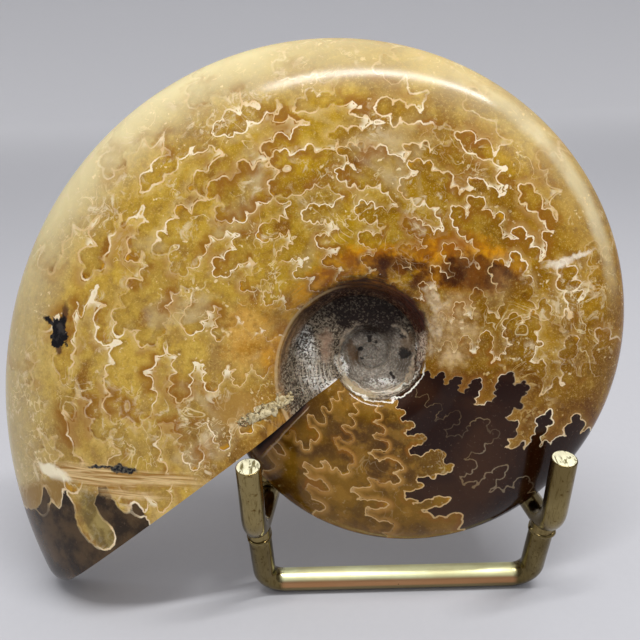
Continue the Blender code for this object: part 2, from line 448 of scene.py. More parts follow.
def clearance(route, apart=5.0):
    """How far each point is from the rest of its route, leaving out what is close along it."""
    thin = route[::6]
    gap = np.hypot(route[:, None, 0] - thin[None, :, 0], route[:, None, 1] - thin[None, :, 1])
    along = ROUTE_GAP * abs(np.arange(len(route))[:, None] - 6 * np.arange(len(thin))[None])
    gap[along < apart] = 99
    return gap.min(1)


def surface_depth(down):
    """Depth along the surface, from depth in the plane. Past the seam it goes straight on."""
    inside = min(down, SEAM_DOWN)
    return float(depth_of(math.exp(-math.radians(inside)))) + down - inside


def suture(index):
    chance = random.Random(index * 7 + 3)
    last = index == len(SUTURES)
    maturity = min(1.0, index / 8)
    knots = []
    for reach, down in LAST_SUTURE if last else FOLDS:
        if last:
            knots.append((reach, surface_depth(down)))
            continue
        down += chance.uniform(-0.5, 0.5) if down > 3 else 0
        down += 0.07 * (1 - maturity) * max(0, down - 40)
        swing = (0.76 + 0.24 * maturity) * chance.uniform(0.94, 1.06)
        knots.append((SUTURES[index] + reach * swing + chance.uniform(-0.5, 0.5), surface_depth(down)))
    route = smooth_route(np.array(knots))
    waves = ((2.5, 5.2, 3.2, 0.6), (1.0, 2.1, 0.36, 0.9))
    for least, most, height, power in waves[1:] if last else waves:
        along = np.append(0, np.cumsum(np.hypot(*np.diff(route, axis=0).T)))
        tangent = np.gradient(route, axis=0)
        tangent /= np.hypot(*tangent.T)[:, None]
        forward = np.stack([tangent[:, 1], -tangent[:, 0]], 1)
        edges, reach = [0.0], 0.0
        while reach < along[-1]:
            reach += chance.uniform(least, most)
            edges.append(reach)
        slot = np.searchsorted(edges, along, "right") - 1
        lengths = np.diff(edges + [edges[-1] + least])
        share = (along - np.array(edges)[slot]) / lengths[slot]
        shallow = np.interp(route[:, 1], [0, 8, 35, 60, 85, 105], [0.8, 1.15, 1.0, 0.85, 0.6, 0.2])
        room = (clearance(route) / 4.6).clip(0.2, 1)
        usual = np.convolve(np.pad(route[:, 0], 90, mode="edge"), np.full(181, 1 / 181), "valid")
        room = room * (0.82 + 0.55 * ((usual - route[:, 0]) / 3).clip(-1, 1))
        strength = np.array([chance.uniform(0.45, 1.55) for _ in lengths])[slot] * room
        wave = (np.sin(np.pi * share) ** power - 0.6) * shallow * strength * height * (0.2 + 0.8 * maturity)
        route = smooth_route((route + forward * wave[:, None])[::3])
    return route


routes = [suture(index) for index in range(len(SUTURES) + 1)]
print(len(routes), "sutures, the longest", round(max(map(len, routes)) * ROUTE_GAP), "degrees of arc")

# %% [markdown]
# A polished line has an even width, so each point of the shell needs to know how far it lies from
# the nearest suture, and on which side. Counting the sutures crossed on the way along a row tells
# the chamber; letting the sign of the distance change from chamber to chamber makes it pass
# smoothly through zero exactly on each line. Some chambers are filled dark, so the distance to
# their own walls is kept as well. Comparing the chamber with its mean nearby tells the narrow tips:
# above the mean in the tip of a lobe, which is milky, and below it in the head of a saddle.

# %% Distance to the sutures
DARK_WALLS = (3, 5, 17)  # the first dark chamber lies between the first two, the other past the third


def local_mean(values, rows, columns):
    """The mean over a window that many steps each way."""
    padded = np.pad(values.astype(float), ((rows + 1, rows), (columns + 1, columns)), mode="edge")
    total = padded.cumsum(0).cumsum(1)
    high, wide = 2 * rows + 1, 2 * columns + 1
    window = total[high:, wide:] - total[:-high, wide:] - total[high:, :-wide] + total[:-high, :-wide]
    return window / (high * wide)


def closest(chosen, places):
    """The distance from each place to the nearest point of the chosen sutures, and whose it is."""
    owners = [index for index in chosen for _ in routes[index]]
    near_points = KDTree(len(owners))
    for number, (along, down) in enumerate(np.concatenate([routes[index] for index in chosen])):
        near_points.insert((along, down, 0), number)
    near_points.balance()
    found = [near_points.find((*place, 0)) for place in places]
    return np.array([hit[2] for hit in found]), np.array([owners[hit[1]] for hit in found])


def chamber_fields(angles, depths):
    """Per grid point: signed distance to the nearest suture, to the dark chambers' walls, and side."""
    grid_angle, grid_depth = np.meshgrid(np.degrees(angles), depths)
    past = []
    for route in routes:
        one, other = route[:-1], route[1:]
        row_counts = []
        for depth in depths:
            hit = (one[:, 1] <= depth) != (other[:, 1] <= depth)
            a, b = one[hit], other[hit]
            crossing = np.sort(a[:, 0] + (depth - a[:, 1]) / (b[:, 1] - a[:, 1]) * (b[:, 0] - a[:, 0]))
            row_counts.append(np.searchsorted(crossing, np.degrees(angles)) % 2)
        past.append(np.array(row_counts))
    chamber = sum(past)
    places = np.stack([grid_angle.ravel(), grid_depth.ravel()], 1)
    near, nearest = (values.reshape(grid_angle.shape) for values in closest(range(len(routes)), places))
    wall = closest(DARK_WALLS, places)[0].reshape(near.shape)
    ahead = np.take_along_axis(np.array(past), nearest[None], 0)[0] * 2 - 1
    past_first, past_second, past_third = (past[index] for index in DARK_WALLS)
    inside = past_first - past_second + past_third
    tone = np.array([random.Random(i + 40).random() for i in range(len(routes) + 2)])[chamber]
    return {
        "suture": np.where(chamber % 2, near, -near),
        "side": ahead * np.exp(-near / 2.2),
        "dark": np.where(inside > 0, 1, -1) * wall.clip(0, 6),
        "tone": tone,
        "poke": chamber - (local_mean(chamber, 4, 5) + local_mean(chamber, 2, 3)) / 2,
    }


# %% [markdown]
# ## Building the turns
#
# Each grid starts as Blender's own flat grid. Its points are then carried onto the spiral, and the
# fields above are kept on the corners of its faces. The inner turns are hidden except for their
# shoulders, so they need only a half and a quarter as many columns.

# %% Turns of the shell
TURN_DEPTH = 95.2


def add_turn(name, turns_in, angles, xs):
    deselect()
    bpy.ops.mesh.primitive_grid_add(x_subdivisions=len(angles) - 1, y_subdivisions=len(xs) - 1, size=2)
    grid = made(name)
    mesh = grid.data
    flat = points(mesh)
    column = np.rint((flat[:, 0] + 1) / 2 * (len(angles) - 1)).astype(int)
    row = np.rint((flat[:, 1] + 1) / 2 * (len(xs) - 1)).astype(int)
    place = flank_point(angles[column], xs[row], turns_in)
    mesh.vertices.foreach_set("co", place.ravel())
    corner = np.empty(len(mesh.loops), int)
    mesh.loops.foreach_get("vertex_index", corner)
    down = np.degrees(-np.log(xs[row])) + TURN_DEPTH * turns_in
    spiral = mesh.uv_layers[0]
    spiral.name = "spiral"
    uv = np.stack([np.degrees(angles[column]), down], 1)[corner] / 100
    spiral.data.foreach_set("uv", uv.ravel())
    if turns_in == 0:
        fields = chamber_fields(angles, depth_of(xs))
        fields = {key: value[row, column][corner] for key, value in fields.items()}
    else:
        plain = {"suture": 9.0, "side": 0.0, "dark": -6.0, "tone": 0.5, "poke": 0.0}
        fields = {key: np.full(len(corner), value) for key, value in plain.items()}
    for key, value in fields.items():
        mesh.attributes.new(key, "FLOAT", "CORNER").data.foreach_set("value", value)
    return grid


def row_xs(low, high, count):
    depth = np.linspace(depth_of(low), depth_of(high), count)
    return np.interp(depth, SECTION_DEPTH, SECTION_X)


COLUMNS = 520
start = CUT - math.tau
corner = TIP_ROUNDING / (SPIRAL_RADIUS * math.exp(GROWTH * CUT))
angles = np.append(
    np.linspace(start, CUT - corner, COLUMNS + 1)[:-1],
    CUT - corner * (1 - np.sin(np.radians(np.linspace(0, 90, 9)))),
)
outer_rows = row_xs(1, JOIN, 72)
inner_rows = row_xs(JOIN, SEAM, 65)
turns = [add_turn("ammonite_body", 0, angles, np.append(outer_rows, inner_rows[1:]))]
for turns_in, skip in ((1, 2), (2, 4)):
    coarse = np.append(angles[:COLUMNS:skip], angles[-1])
    turns.append(add_turn(f"turn_{turns_in}", turns_in, coarse, inner_rows[::skip]))
body = joined(turns, "ammonite_body")
edit(body, select="SELECT")
bpy.ops.mesh.remove_doubles(threshold=1e-6)
bpy.ops.mesh.select_all(action="SELECT")
bpy.ops.mesh.fill_holes(sides=16)
bpy.ops.object.mode_set(mode="OBJECT")
print("welded turns:", len(body.data.vertices), "points,", len(body.data.polygons), "faces")

# %% [markdown]
# The saw left two flat faces. One is the back, where the whole fossil was cut in half; the other
# is the straight cut across the aperture, which stands on the turn before. A small fan closes the
# centre of the navel.

# %% Saw cuts
def open_edges(piece):
    """Which edges lie on the rim of a hole."""
    edit(piece, "EDGE")
    bpy.ops.mesh.select_non_manifold(extend=False)
    bpy.ops.object.mode_set(mode="OBJECT")
    return np.array([edge.select for edge in piece.data.edges])


def cap(piece, mask, poke=False):
    """A flat face over the open edges between points in the mask. Returns how many edges it has."""
    ends = np.array([edge.vertices[:] for edge in piece.data.edges])
    rim = open_edges(piece) & mask[ends].all(1)
    pick(piece, rim, "EDGE")
    bpy.ops.mesh.edge_face_add()
    if poke:
        bpy.ops.mesh.poke()
    bpy.ops.object.mode_set(mode="OBJECT")
    return int(rim.sum())


place = points(body.data)
in_cut = abs(place[:, 0] * math.sin(CUT) - place[:, 1] * math.cos(CUT)) < 1e-7
in_cut &= place[:, 0] * math.cos(CUT) + place[:, 1] * math.sin(CUT) > 2 * MM
print("edges round the aperture cut:", cap(body, in_cut))
print("edges round the back:", cap(body, points(body.data)[:, 2] < 1e-6))
place = points(body.data)
print("edges round the centre:", cap(body, np.hypot(place[:, 0], place[:, 1]) < 4.5 * MM, poke=True))
print("edges left open:", int(open_edges(body).sum()))
body.data.transform(fossil_frame)
outside(body)
body.data.shade_smooth()
body.data.set_sharp_from_angle(angle=math.radians(50))
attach(body, "root")
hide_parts("ammonite")

# %% [markdown]
# ## Calcite
#
# The shell was replaced by calcite: honey to olive, glassy, clouded towards the outer edge, with
# rust where iron seeped in. Three small effects build it, each a group of its own: a line of even
# width from a distance, a soft-edged patch at a place on the spiral, and fine polishing marks that
# break up the gloss. Crystal clouding comes from plain noise.

# %% Shared effects
sockets = {"Distance": 0.0, "Half Width": 0.3, "Blur": 0.2, "Wander": 0.0}
tree, given, result = new_group("even_line", sockets, ["Line"])
line_group = tree
away = calc("ABSOLUTE", calc("ADD", given["Distance"], given["Wander"]))
edge_far = calc("ADD", given["Half Width"], given["Blur"])
tree.links.new(spread(away, edge_far, given["Half Width"]), result["Line"])

sockets = {"Spiral": (0, 0, 0), "At": (0, 0, 0), "Size": (0.1, 0.1, 1), "Edge": 0.4, "Ragged": 0.0}
tree, given, result = new_group("patch", sockets, ["Patch"])
patch_group = tree
off = vectors("DIVIDE", vectors("SUBTRACT", given["Spiral"], given["At"]), given["Size"])
reach = calc("ADD", vectors("LENGTH", off, out="Value"), given["Ragged"])
tree.links.new(spread(reach, 1.0, rest(given["Edge"])), result["Patch"])

sockets = {"Place": (0, 0, 0), "Smooth": 0.07, "Dull": 0.2}
tree, given, result = new_group("polishing_marks", sockets, ["Roughness", "Height"])
polish_group = tree
smear = noise(given["Place"], 90, 3)
hair = noise(stretched(given["Place"], (3000, 260, 400), (0.2, 0.5, 0.9)), 1.0, 4, 0.7)
hair = spread(hair, 0.62, 0.8)
ends = {"From Min": 0.3, "From Max": 0.75, "To Min": given["Smooth"], "To Max": given["Dull"]}
gloss = node("ShaderNodeMapRange", {"Value": smear, **ends}).outputs[0]
tree.links.new(scaled(hair, 0.07, gloss), result["Roughness"])
tree.links.new(scaled(hair, -0.3, times(smear, 0.7)), result["Height"])
print("groups:", [group.name for group in bpy.data.node_groups])

# %% [markdown]
# The flank's colour is laid down from the inside out: honey mottled with olive and amber, a
# slightly different tone for each chamber, dark filled chambers, rust, and at last the cream
# lines. The lines are softly lit on their forward side and shaded brown on the other, since the
# chamber wall dips away under the surface there. The folded scar near the tip is a healed wound of
# the living animal, and the black blot is manganese.
#
# Marks that follow the growth are patches, placed by their angle round the spiral and depth from
# the venter. Marks that don't, like the scar and everything in the navel, are spots, placed in
# millimetres in the plane of the back.

# %% Places on the flank
to_fossil = fossil_frame.inverted()
COIL_MIDDLE = 0.8
FIELDS = ("suture", "side", "dark", "tone", "poke")


def fossil_place():
    """Object coordinates, and the fossil's own: the back in XY, the flank towards Z."""
    place = object_place()
    inputs = {"Vector": place, "Location": to_fossil.translation, "Rotation": to_fossil.to_euler()}
    return place, node("ShaderNodeMapping", inputs).outputs[0]


flank, tree, shader = new_material(
    "polished_flank", IOR=1.50, Specular_IOR_Level=0.25, Subsurface_Weight=0.10, Subsurface_Scale=0.0015
)
place, own = fossil_place()
spiral = node("ShaderNodeUVMap", uv_map="spiral").outputs[0]
around, down, _ = parts(spiral)
fields = [node("ShaderNodeAttribute", attribute_name=name).outputs["Fac"] for name in FIELDS]
suture_gap, side, dark_gap, tone, poke = fields
cloud = noise(place, 75, 4, 0.55, 0.6)
mottle = noise(place, 330, 5, 0.62)
grain = noise(place, 900, 4, 0.62)
fine = noise(place, 2600, 3, 0.6)
sparkle = noise(place, 5600, 1)
ragged = centred(noise(place, 260, 3, 0.6), 1.2)
tatter = centred(noise(place, 800, 3, 0.6), 1.2)
warped = vectors("MULTIPLY_ADD", noise(place, 620, 3, 0.6, 0, "Color"), (1.6 * MM,) * 3, own)


def clump(scale, low, high, *more):
    """Where a broad noise gathers an effect."""
    return spread(noise(place, scale, *more), low, high)


def patch(at, size, edge=0.5, rag=1.0, rough_edge=0.0):
    """At and size are degrees round the spiral and down from the venter."""
    uneven = scaled(tatter, rough_edge, times(ragged, rag))
    at, size = (*(value / 100 for value in at), 0), (*(value / 100 for value in size), 1)
    inputs = {"Spiral": spiral, "At": at, "Size": size, "Edge": edge, "Ragged": uneven}
    return use(patch_group, inputs)["Patch"]


def spot(at, size, edge=0.5, rag=0.5, tilt=0.0):
    """At and size are millimetres from the centre of the coil, in the plane of the back."""
    at = Vector((at[0] + COIL_MIDDLE, at[1] + COIL_MIDDLE, 0)) * MM
    where = warped
    if tilt:
        turned = {"Vector": warped, "Center": at, "Axis": (0, 0, 1), "Angle": -math.radians(tilt)}
        where = node("ShaderNodeVectorRotate", turned).outputs[0]
    inputs = {"Spiral": where, "At": at, "Size": (size[0] * MM, size[1] * MM, 1)}
    return use(patch_group, {**inputs, "Edge": edge, "Ragged": times(tatter, rag)})["Patch"]


def patches(*each):
    return most(*[patch(*one) for one in each])


def spots(*each):
    return most(*[spot(*one) for one in each])


def even_line(distance, half_width, blur, wander=0.0):
    inputs = {"Distance": distance, "Half Width": half_width, "Blur": blur, "Wander": wander}
    return use(line_group, inputs)["Line"]


def ring(at, radius, half_width, blur, uneven=0.0):
    """A line round a centre in the plane of the back, and the distance from it, in millimetres."""
    at = [-(value + COIL_MIDDLE) * MM for value in at]
    x, y, _ = parts(vectors("ADD", warped, (*at, 0)))
    reach = scaled(calc("SQRT", scaled(x, x, times(y, y))), 1000, -radius)
    return even_line(reach, half_width, blur, times(tatter, uneven)), reach


print("noises and places:", len(tree.nodes), "nodes")

# %% Honey calcite
# From broad clouds to the turn before, which is browner.
young = spread(around, -0.25, -0.75)
right_low = times(spread(around, 0.85, 0.25), spread(around, -0.5, -0.2))
left_low = times(spread(around, 1.80, 2.00), spread(down, 0.38, 0.62))
soil = coats(
    blend(spread(cloud, 0.42, 0.58), (0.100, 0.040, 0.002), (0.24, 0.115, 0.005)),
    (spread(mottle, 0.50, 0.62, 0.5), (0.40, 0.200, 0.022)),
    (spread(mottle, 0.46, 0.34, 0.5), (0.075, 0.030, 0.002)),
)
honey = coats(
    blend(spread(cloud, 0.40, 0.60), (0.325, 0.162, 0.002), (0.55, 0.325, 0.005)),
    (spread(mottle, 0.50, 0.66, 0.38), (0.72, 0.48, 0.065)),
    (spread(mottle, 0.50, 0.36, 0.66), (0.28, 0.120, 0.003)),
    (times(tone, 0.25), (0.28, 0.155, 0.004)),
    # Painted light: the left side, past 100 degrees round, is painted a little paler, where less of the lamp
    # on the right reaches it.
    (spread(around, 1.0, 2.0, 0.20), (0.80, 0.63, 0.30)),
    (young, soil),
    (right_low, (0.80, 0.70, 0.55), "MULTIPLY"),
    (left_low, (0.62, 0.50, 0.36), "MULTIPLY"),
)
print("honey:", len(tree.nodes), "nodes")

# %% Rust and stains
# From the largest glow to the smallest spot.
striae = noise(stretched(spiral, (2.6, 80, 1)), 1.0, 4, 0.7, 0.5)
tan_zone = spot((10.0, 3.6), (4.8, 6.2), 0.8, 0.8)
warm_rim = spot((-14.6, 3.2), (4.4, 6.4), 0.8, 0.8, -12)
amber = most(
    spot((11.3, 12.1), (8.8, 4.2), 0.40, 0.5, -8),
    spot((1.0, 12.4), (8.5, 2.5), 0.6, 0.6),
    spot((-5.4, 10.2), (4.5, 2.4), 0.7, 0.6, 35),
    times(patch((172, 83), (26, 7), 0.7), 0.6),
    times(patch((106, 80), (64, 16), 0.8, 0.8), spread(striae, 0.30, 0.52)),
)
umber = spots(
    ((12.6, 10.8), (6.6, 3.1), 0.45, 0.6, -8),
    ((3.4, 11.8), (5.8, 2.1), 0.7, 1.0),
    ((6.2, 9.8), (2.6, 2.0), 0.8, 1.0, -30),
)
umber = times(umber, clipped(mottle, 1.2, 0.70))
pale = patches(
    ((43, 69), (11, 6), 0.5, 1.8, 1.0), ((26, 76), (13, 7), 0.6, 1.8, 1.0), ((10, 82), (14, 4), 0.6, 1.8, 1.0)
)
two_tones = spread(mottle, 0.40, 0.60)
honey = coats(
    honey,
    (times(warm_rim, 0.85), blend(two_tones, (0.50, 0.225, 0.018), (0.68, 0.37, 0.075))),
    (times(tan_zone, 0.85), blend(two_tones, (0.40, 0.23, 0.075), (0.80, 0.58, 0.31))),
    (amber, blend(spread(mottle, 0.42, 0.60), (0.36, 0.115, 0.002), (0.74, 0.320, 0.003))),
    (umber, blend(spread(mottle, 0.40, 0.62), (0.060, 0.014, 0.001), (0.190, 0.058, 0.002))),
    (times(pale, 0.85), blend(spread(grain, 0.40, 0.60), (0.50, 0.34, 0.18), (0.84, 0.66, 0.43))),
)
for at, size in (
    ((157, 17), (3.5, 2)), ((169.5, 33), (4, 2.6)), ((123, 47), (3.2, 3.4)), ((92, 30), (5, 2.5)),
    ((138, 26), (5, 2)), ((186, 20), (6, 3)), ((150, 62), (5, 3)), ((60, 22), (6, 2.4)),
    ((12, 38), (4, 2.4)), ((196, 58), (5, 3)),
):
    honey = coats(honey, (times(patch(at, size, 0.8, 1.5, 1.0), 0.8), (0.24, 0.085, 0.006)))
print("rust and stains:", len(tree.nodes), "nodes")

# %% Grains, milky calcite, feathers and a painted rim highlight
stained = most(umber, amber, young)
clean = calc("MAXIMUM", rest(times(stained, 0.8)), 0.0)
calm = scaled(most(umber, warm_rim), -0.85, 1.0)
rim_fade = times(spread(scaled(ragged, 0.05, down), 0.15, 0.06), spread(around, -0.2, 0.2))
quiet = times(calm, scaled(rim_fade, -0.7, 1.0))
milk = times(
    spread(down, 0.16, 0.015), spread(around, 0.1, 0.7), clipped(cloud, 0.9, 0.45),
    scaled(spread(around, 1.50, 1.80), -0.45, 1.0), scaled(spread(around, 1.15, 0.80), -0.40, 1.0),
)
# Painted highlight: a pale band along the rim on the right, carrying the lamp's reflection on round the
# shoulder.
painted_rim_highlight = times(
    even_line(scaled(down, 100, -4.0), 0.5, 2.2, times(ragged, 1.5)),
    spread(around, 0.05, 0.35), spread(around, 0.86, 0.56), clipped(cloud, 1.6, -0.1),
)
feather = times(clump(520, 0.52, 0.64, 5, 0.7, 1.0), clump(120, 0.48, 0.62, 3))
veil = times(clump(95, 0.53, 0.67, 3, 0.55, 0.8), spread(down, 0.10, 0.25), clean, spread(around, -0.1, 0.5))
wisp = even_line(centred(noise(place, 250, 3, 0.6, 0.8), 16), 0.05, 0.20)
wisp = times(wisp, clump(130, 0.50, 0.60, 2), clean, 0.55)
fleck = times(clump(1500, 0.62, 0.70, 2, 0.5), clump(210, 0.50, 0.60, 2), clean, 0.75)
honey = coats(
    honey,
    (times(spread(grain, 0.50, 0.66, 0.40), clean), (0.52, 0.43, 0.28), "MULTIPLY"),
    (times(spread(fine, 0.52, 0.70, 0.32), clean), (0.46, 0.36, 0.24), "MULTIPLY"),
    (times(spread(fine, 0.46, 0.28, 0.32), clean), (0.88, 0.62, 0.17)),
    (times(spread(sparkle, 0.55, 0.80, 0.28), clean), (0.92, 0.68, 0.24)),
    (milk, (0.84, 0.74, 0.44)),
    (times(painted_rim_highlight, 0.75), (0.94, 0.86, 0.62)),
    (times(feather, scaled(stained, -0.7, 0.7)), (0.86, 0.71, 0.46)),
    (times(veil, clipped(mottle, 1.4, -0.25)), (0.60, 0.47, 0.27)),
    (most(wisp, fleck), (0.98, 0.80, 0.46)),
)
print("grains and milk:", len(tree.nodes), "nodes")

# %% Beside the sutures
# Iron in the frills, shade on the far side, light on the near side, milky lobes and amber heads.
frill = times(spread(calc("ABSOLUTE", suture_gap), 3.0, 0.3), clump(170, 0.50, 0.60, 4, 0.6))
ahead = times(spread(side, 0.30, 0.95), clipped(cloud, 1.6, -0.20))
behind = times(spread(side, -0.35, -0.95), clipped(mottle, 2.4, -0.60))
head = times(spread(poke, -0.40, -0.66), clump(140, 0.44, 0.56, 2))
tip_milk = times(
    spread(poke, 0.36, 0.62), clump(150, 0.47, 0.55, 3), clipped(grain, 1.6, 0.2),
    scaled(young, -0.8, 1.0), spread(down, 0.05, 0.15),
)
edge_shade = times(spread(down, 0.13, 0.02), scaled(spread(around, 0.95, 1.35), -0.6, 1.0))
honey = coats(
    honey,
    (times(frill, quiet, 0.75), (0.30, 0.105, 0.006)),
    (times(ahead, quiet, 0.65), (0.74, 0.52, 0.19)),
    (times(behind, quiet, 0.52), (0.24, 0.100, 0.004)),
    (times(head, quiet, 0.78), blend(spread(mottle, 0.44, 0.56), (0.60, 0.285, 0.006), (0.19, 0.066, 0.003))),
    (times(spread(side, 0.20, 0.9), young, 0.8), (0.44, 0.205, 0.030)),
    (times(tip_milk, 0.9), (1.0, 0.87, 0.62)),
    (edge_shade, (0.84, 0.80, 0.68), "MULTIPLY"),
)

# %% Dark chambers, and the clear tongue in the dark corner
tip_side = spread(around, 1.7, 1.9)
filled = spread(scaled(ragged, 0.4, dark_gap), -0.20, 0.20)
filled = times(filled, most(spread(down, 0.0, 0.10), tip_side, spread(around, -0.80, -0.62)))
tip_dusk = blend(spread(mottle, 0.38, 0.62), (0.024, 0.012, 0.004), (0.085, 0.048, 0.018))
dusk = coats(
    blend(spread(cloud, 0.4, 0.65), (0.017, 0.0035, 0.0005), (0.048, 0.016, 0.004)),
    (tip_side, tip_dusk),
    (spread(fine, 0.60, 0.76, 0.5), (0.15, 0.095, 0.055)),
)
ember = times(
    spread(dark_gap, -5.8, -2.2), spread(around, -0.55, -0.40), spread(around, 0.30, 0.05),
    spread(down, 0.88, 0.74),
)
tongue = spot((-34.6, -21.6), (3.0, 6.0), 0.5, 0.3, 29)
clear = blend(spread(mottle, 0.42, 0.60), (0.115, 0.080, 0.022), (0.34, 0.265, 0.095))
honey = coats(
    honey, (ember, (0.72, 0.60, 0.36), "MULTIPLY"), (times(tongue, 0.78), clear), (filled, dusk)
)
print("chambers:", len(tree.nodes), "nodes")

# %% Cream lines
wander = centred(noise(spiral, 95, 3, 0.6), 0.5)
width = scaled(young, 0.10, scaled(noise(place, 330, 1), 0.26, -0.045))
strong = spread(calc("ABSOLUTE", calc("SUBTRACT", dark_gap, 0.2)), 2.0, 0.5)
faded = times(filled, rest(strong))
worn = most(clump(150, 0.38, 0.50, 2), 0.28)
thin_side = spot((-36.9, -22.9), (2.0, 5.0), 0.6, 0.3, 29)
line = times(
    even_line(suture_gap, width, 0.16, wander), worn, scaled(thin_side, -0.8, 1.0), scaled(faded, -0.75, 1.0),
    spread(down, 0.86, 0.78), scaled(most(times(rim_fade, rest(filled)), warm_rim), -0.75, 1.0),
)
cream = blend(clump(210, 0.40, 0.62, 2), (0.78, 0.55, 0.27), (1.0, 0.84, 0.58))
cream = blend(young, cream, (0.66, 0.43, 0.18))
# Painted reflection: a silvery streak up and to the right of the navel.
painted_glint = spots(((23.4, 12.2), (2.4, 0.75), 0.7, 0.9, 20), ((25.4, 13.0), (3.2, 0.40), 0.6, 0.5, 17))
colour = coats(honey, (line, cream), (times(painted_glint, clipped(grain, 1.5, 0.0)), (0.94, 0.82, 0.64)))
print("lines:", len(tree.nodes), "nodes")

# %% Scar and blot
# The scar is a tan fold with a bright edge, streaked along its length, and a dark slit. The blot
# has two arms like the tips of a lobe.
streak = noise(stretched(own, (90, 2300, 90)), 1.0, 4, 0.65, 0.6)
fold = spots(
    ((-35, -15.4), (10.5, 1.9), 0.5, 0.3), ((-27, -15.2), (9, 1.5), 0.7, 0.5),
    ((-30, -17.4), (7, 1.0), 0.8, 0.6),
)
slit = spots(((-31.0, -14.3), (2.6, 0.62), 0.4, 0.4), ((-34, -14.2), (2.8, 0.26), 0.6, 0.4))
teeth = times(patch((203.5, 7.6), (3.6, 7.2), 0.3, 0.2), rest(filled), spread(around, 2.005, 2.025))
arm = spots(((-39.1, 5.3), (0.62, 2.1), 0.7, 0.3, -5), ((-40.1, 0.7), (0.62, 1.15), 0.5, 0.8))
blot = spots(
    ((-40.1, 2.7), (1.45, 2.15), 0.14, 1.2), ((-41.3, 4.0), (0.50, 2.2), 0.5, 0.4, 55),
    ((-39.5, 4.2), (0.7, 1.1), 0.4, 0.5),
)
colour = coats(
    colour,
    (times(fold, 0.95), blend(spread(streak, 0.38, 0.62), (0.34, 0.165, 0.030), (0.80, 0.57, 0.27))),
    (spot((-41.2, -15.7), (3.6, 1.15), 0.45, 0.3, -14), (1.0, 0.88, 0.62)),
    (slit, blend(spread(fine, 0.44, 0.60), (0.010, 0.010, 0.012), (0.11, 0.095, 0.070))),
    (times(teeth, scaled(line, -0.8, 0.85)), (0.30, 0.165, 0.036)),
    (times(arm, 0.9), (0.10, 0.042, 0.016)),
    (blot, blend(spread(grain, 0.45, 0.65), (0.006, 0.005, 0.006), (0.040, 0.034, 0.032))),
)

# %% Broken corner
# By the inner end of the aperture the shell is broken: pale matrix, and an open slit whose dark inside is
# painted shade.
veins = {"Vector": warped, "Scale": 900, "Randomness": 1.0}
crack = node("ShaderNodeTexVoronoi", veins, feature="DISTANCE_TO_EDGE").outputs["Distance"]
hollow = spread(noise(stretched(own, (1500, 260, 500), (0, 0, 0.5)), 1.0, 4, 0.6), 0.40, 0.60)
hollow = blend(hollow, (0.115, 0.042, 0.006), (0.36, 0.185, 0.030))
matrix = spots(((-12.6, -6.3), (3.7, 0.8), 0.25, 1.0, 24), ((-10.0, -5.2), (1.5, 1.5), 0.3, 1.3))
chalky = blend(spread(fine, 0.34, 0.60), (0.34, 0.22, 0.09), (0.70, 0.59, 0.35))
chalky = blend(times(spread(crack, 0.035, 0.0), spread(mottle, 0.44, 0.52)), chalky, (0.035, 0.018, 0.007))
opening = calc("SUBTRACT", scaled(tatter, 0.012, scaled(down, -0.09, -1.352)), around)
# Painted shade: the slit is painted near black inside, darker away from its edge.
gap = times(
    spread(opening, -0.003, 0.006), spread(down, 0.04, 0.08), spread(down, 0.47, 0.42), spread(around, 0, -1)
)
lip = spread(calc("ABSOLUTE", calc("ADD", opening, 0.007)), 0.006, 0.001)
lip = times(lip, spread(down, 0.05, 0.12), spread(down, 0.47, 0.42), spread(around, 0, -1), 0.8)
colour = coats(
    colour,
    (times(spot((-16.2, -6.0), (4.6, 3.0), 0.7, 0.6, 20), 0.70), (0.42, 0.235, 0.055)),
    (times(spot((-11.2, -8.2), (3.6, 1.9), 0.6, 0.8, 42), 0.85), hollow),
    (matrix, chalky),
    (gap, blend(spread(opening, 0.008, 0.03), (0.10, 0.045, 0.028), (0.014, 0.008, 0.009))),
    (lip, (0.62, 0.44, 0.28)),
)
print("scar, blot and corner:", len(tree.nodes), "nodes")

# %% Navel
# Below the shoulder the polish stops, and the navel is lined with small crystals. Its bowl is painted as if
# lit from above: a painted shadow over the top, painted highlight on the white crystals low down, and small
# holes painted dark as shade.
crystal = node("ShaderNodeTexVoronoi", {"Vector": place, "Scale": 5200, "Randomness": 1.0})
facet = parts(crystal.outputs["Color"])[0]
speck = scaled(facet, 0.42, scaled(fine, 0.30, times(grain, 0.28)))
navel = most(spread(scaled(ragged, 0.04, down), 0.850, 0.885), patch((72, 92), (80, 16), 0.3, 0.3, 0.4))
crescent = spots(((-8.3, 0.8), (1.8, 4.6), 0.6, 0.8, 8), ((-6.6, -3.6), (2.6, 1.7), 0.6, 0.8, -30))
bowl, out_from = ring((0.9, -0.2), 0.0, 4.7, 0.5)
floor_grey = coats(
    blend(clump(240, 0.40, 0.60, 3), (0.17, 0.135, 0.095), (0.38, 0.33, 0.26)),
    (spread(calc("SINE", times(out_from, 14.0)), 0.1, 1.0, 0.35), (0.52, 0.48, 0.42)),
    (spread(speck, 0.60, 0.46, 0.5), (0.10, 0.075, 0.055)),
)
# White crystals, painted brighter low in the bowl as painted highlight.
white_crystals_and_highlight = spots(
    ((-5.0, -3.9), (1.7, 0.75), 0.5, 1.0, 10), ((1.6, -3.7), (2.3, 0.75), 0.5, 1.3, 5),
    ((-3.6, -1.5), (0.9, 2.2), 0.7, 1.2, 18), ((6.6, 1.6), (0.7, 1.6), 0.7, 1.2),
)
# Pale streaks of crystal low in the bowl, also painted highlight.
pale_streaks_and_highlight = spots(((-6.8, -3.0), (3.6, 3.4), 0.7, 0.6, -20), ((2.4, -4.6), (5.0, 1.2), 0.7, 0.8))
shadow = spots(
    ((-0.4, 6.4), (7.8, 3.8), 0.45, 0.9), ((0.8, 4.2), (5.2, 2.7), 0.7, 0.9),
    ((6.2, 4.9), (2.2, 2.8), 0.6, 0.8),
)
silver = blend(spread(speck, 0.34, 0.66), (0.10, 0.080, 0.06), (0.86, 0.84, 0.76))
brown = blend(spread(mottle, 0.42, 0.56), (0.12, 0.062, 0.026), (0.34, 0.22, 0.14))
